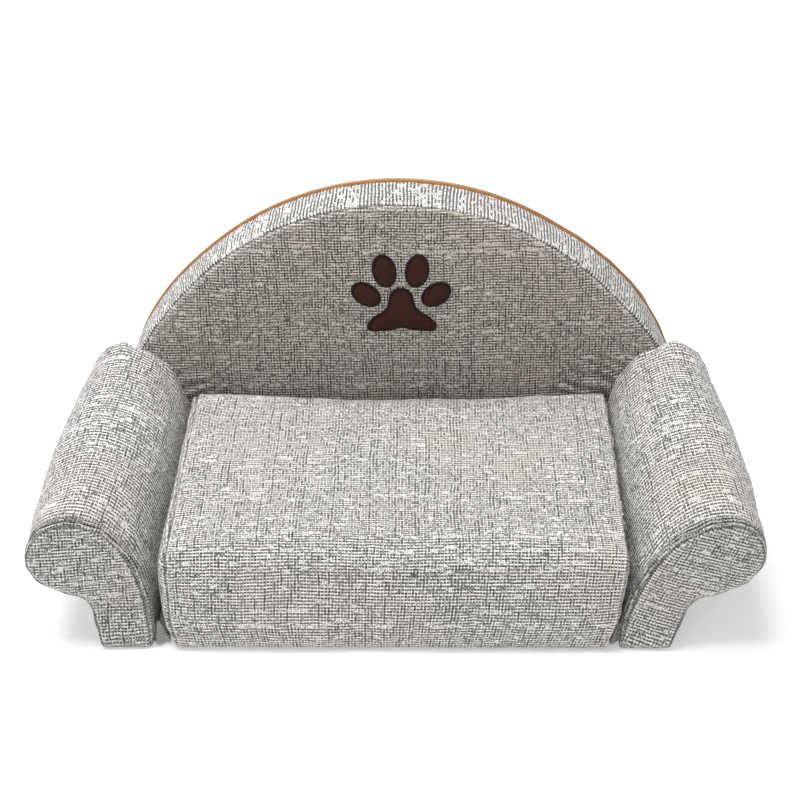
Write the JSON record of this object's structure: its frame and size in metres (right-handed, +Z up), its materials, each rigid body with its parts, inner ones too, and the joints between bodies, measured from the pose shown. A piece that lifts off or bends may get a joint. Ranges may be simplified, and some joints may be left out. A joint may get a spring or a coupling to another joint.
{
  "type": "pet sofa bed",
  "caption": "Sofa-shaped pet bed with scroll arms, a half-moon backrest with a paw motif, and a thick loose seat cushion, all covered in slub linen.",
  "frame": {"origin": "on the floor, under the middle of the bed's outline", "axes": "+X to the viewer's right when facing the bed's front, -Y out of the front, +Z up"},
  "size_m": [0.7018, 0.4074, 0.3154],
  "materials": {
    "slub_linen": "matte",
    "base_cloth": "matte",
    "grip_cloth": "matte",
    "hardboard": "matte",
    "foam": "matte",
    "paw_felt": "matte",
    "paw_thread": "satin",
    "tan_zip_tape": "matte",
    "tan_zip_coil": "satin",
    "grey_zip_tape": "matte",
    "grey_zip_coil": "satin",
    "zip_metal": "satin",
    "label_satin": "satin"
  },
  "bodies": {
    "sofa_frame": {"base_grip_sheet": "grip_cloth", "base_board": "hardboard", "base_edge_binding": "base_cloth", "base_liner": "base_cloth", "back_front_panel": "slub_linen", "back_front_foam": "foam", "back_board": "hardboard", "back_rear_foam": "foam", "back_rear_panel": "slub_linen", "back_gusset": "slub_linen", "back_zip_tape_front": "tan_zip_tape", "back_zip_tape_rear": "tan_zip_tape", "back_zip_coil": "tan_zip_coil", "back_zip_stops": "zip_metal", "paw_pad": "paw_felt", "paw_toe_outer_left": "paw_felt", "paw_toe_inner_left": "paw_felt", "paw_toe_inner_right": "paw_felt", "paw_toe_outer_right": "paw_felt", "paw_edge_stitching": "paw_thread", "left_arm_wrap": "slub_linen", "left_arm_front_panel": "slub_linen", "left_arm_rear_panel": "slub_linen", "left_arm_core": "foam", "left_arm_board": "hardboard", "right_arm_wrap": "slub_linen", "right_arm_front_panel": "slub_linen", "right_arm_rear_panel": "slub_linen", "right_arm_core": "foam", "right_arm_board": "hardboard", "care_label": "label_satin"},
    "seat_cushion": {"cushion_wrap": "slub_linen", "cushion_left_panel": "slub_linen", "cushion_right_panel": "slub_linen", "cushion_core": "foam", "cushion_zip_tape": "grey_zip_tape", "cushion_zip_coil": "grey_zip_coil", "cushion_zip_stops": "zip_metal"},
    "cushion_zip_slider": {"cushion_zip_slider": "zip_metal"},
    "cushion_zip_pull": {"cushion_zip_pull": "zip_metal"},
    "back_zip_slider": {"back_zip_slider": "zip_metal"},
    "back_zip_pull": {"back_zip_pull": "zip_metal"}
  },
  "joints": [
    {"name": "cushion_lift", "type": "slide", "parent": "sofa_frame", "child": "seat_cushion", "axis": [0, 0, 1], "range_m": [0, 0.16]},
    {"name": "cushion_zip_slide", "type": "slide", "parent": "seat_cushion", "child": "cushion_zip_slider", "axis": [-1, 0, 0], "range_m": [0, 0.3646]},
    {"name": "cushion_zip_pull_swing", "type": "hinge", "parent": "cushion_zip_slider", "child": "cushion_zip_pull", "pos_m": [0.1823, 0.12255, 0.042], "axis": [0, 1, 0], "range_deg": [-60, 60]},
    {"name": "back_zip_slide", "type": "hinge", "parent": "sofa_frame", "child": "back_zip_slider", "pos_m": [0, 0.1284, 0.0085], "axis": [0, -0.9998, 0.0175], "range_deg": [0, 141.1]},
    {"name": "back_zip_pull_swing", "type": "hinge", "parent": "back_zip_slider", "child": "back_zip_pull", "pos_m": [0.29448, 0.19521, 0.11134], "axis": [0, -0.9998, 0.0175], "range_deg": [0, 150]}
  ]
}
